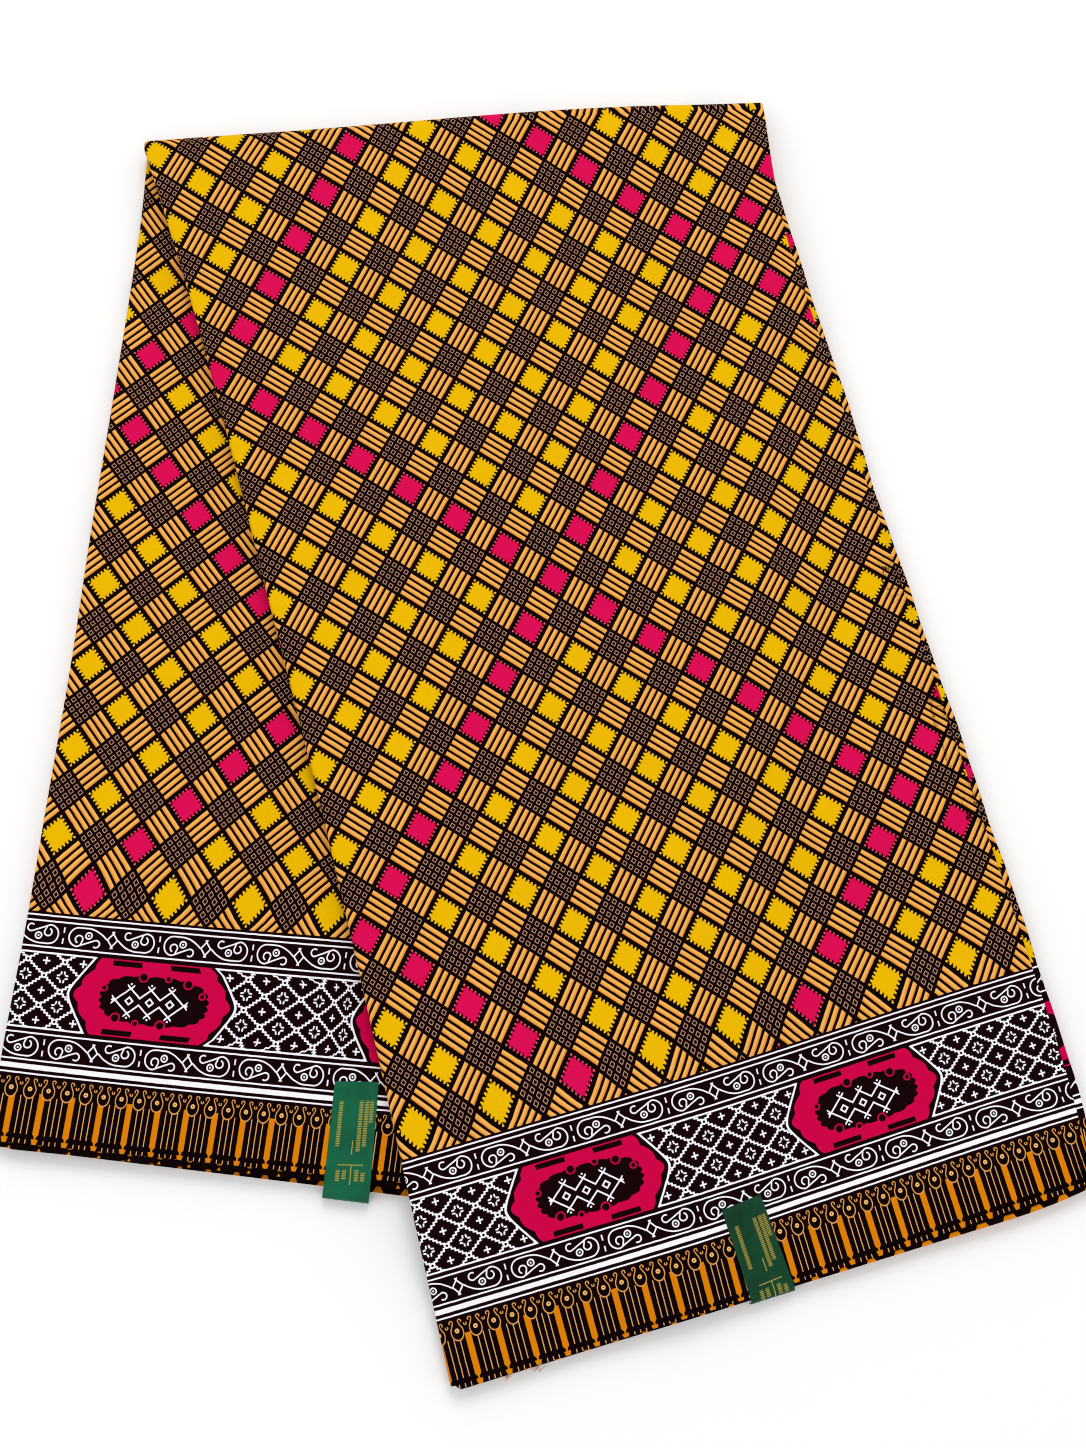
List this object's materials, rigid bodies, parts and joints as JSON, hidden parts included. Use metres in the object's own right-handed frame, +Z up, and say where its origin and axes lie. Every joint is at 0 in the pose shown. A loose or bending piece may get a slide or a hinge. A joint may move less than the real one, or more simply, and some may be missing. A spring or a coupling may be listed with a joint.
{
  "type": "folded wax print fabric",
  "caption": "Full length of wax print cotton folded into a many-layered strip, then folded in two with the halves fanned apart, lying flat, with a paper label over each selvedge.",
  "frame": {"origin": "middle of the footprint, on the surface that the cloth lies on", "axes": "+Z up out of the surface; +Y away from the viewer, towards the second fold, which runs along X; the front half lies on top and to the right (+X), the back half under it and to the left"},
  "size_m": [0.5204, 0.6424, 0.0165],
  "materials": {
    "wax_print_cotton": "crisp matt cotton with a dark, orange, yellow, pink and white print",
    "layered_edges": "folded edges of the same printed cotton",
    "label_paper": "coated dark green paper with thin gold rules"
  },
  "bodies": {
    "root": {"front_half_outer_sheet": "wax_print_cotton", "fold_outer_sheet": "wax_print_cotton", "underside_outer_sheet": "wax_print_cotton", "back_half_inner_sheet": "wax_print_cotton", "hidden_layers": "layered_edges", "front_label": "label_paper", "back_label": "label_paper"}
  },
  "joints": []
}
